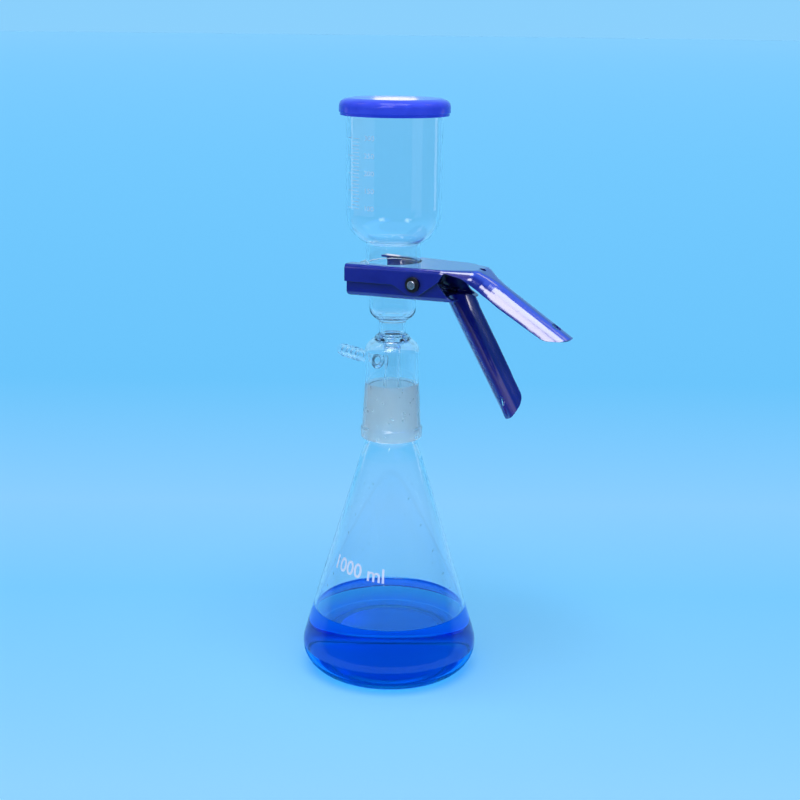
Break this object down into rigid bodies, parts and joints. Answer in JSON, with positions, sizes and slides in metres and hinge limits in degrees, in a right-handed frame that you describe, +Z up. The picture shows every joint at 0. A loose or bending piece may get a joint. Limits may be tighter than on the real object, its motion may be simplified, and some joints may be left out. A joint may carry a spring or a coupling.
{
  "type": "vacuum filtration unit",
  "caption": "Glass vacuum filtration unit: lidded graduated funnel cup clamped by a sprung blue two-lever clamp onto a fritted base with a hose arm, on a conical flask holding blue filtrate.",
  "frame": {"origin": "centre of the flask's foot ring on the surface it stands on", "axes": "+Z up along the glass axis; -Y towards the front, from where the clamp handles reach right and forwards; +X right"},
  "size_m": [0.1903, 0.1371, 0.4275],
  "materials": {
    "clear_glass": "clear borosilicate glass, ground at the joint",
    "blue_liquid": "clear deep blue aqueous liquid",
    "sintered_glass": "white porous sintered glass",
    "membrane": "white matte membrane",
    "blue_plastic": "semi-gloss moulded plastic",
    "blue_paint": "glossy blue paint on sheet steel",
    "pin_steel": "turned steel",
    "black_steel": "black oxide",
    "spring_steel": "drawn wire"
  },
  "bodies": {
    "unit": {"flask": "clear_glass", "filtrate": "blue_liquid", "filter_base": "clear_glass", "fritted_disc": "sintered_glass", "membrane_filter": "membrane", "funnel_cup": "clear_glass", "lid": "blue_plastic", "lower_lever": "blue_paint", "pivot_pin": "pin_steel", "retaining_washers": "black_steel", "torsion_spring": "spring_steel"},
    "upper_jaw": {"upper_lever": "blue_paint"}
  },
  "joints": [
    {"name": "clamp_hinge", "type": "hinge", "parent": "unit", "child": "upper_jaw", "pos_m": [0.02587, -0.01376, 0.30038], "axis": [0.4695, 0.8829, 0], "range_deg": [0, 15], "stiffness_Nm_per_rad": 1.2, "springref_deg": -14.32, "deforming": ["torsion_spring"]}
  ]
}
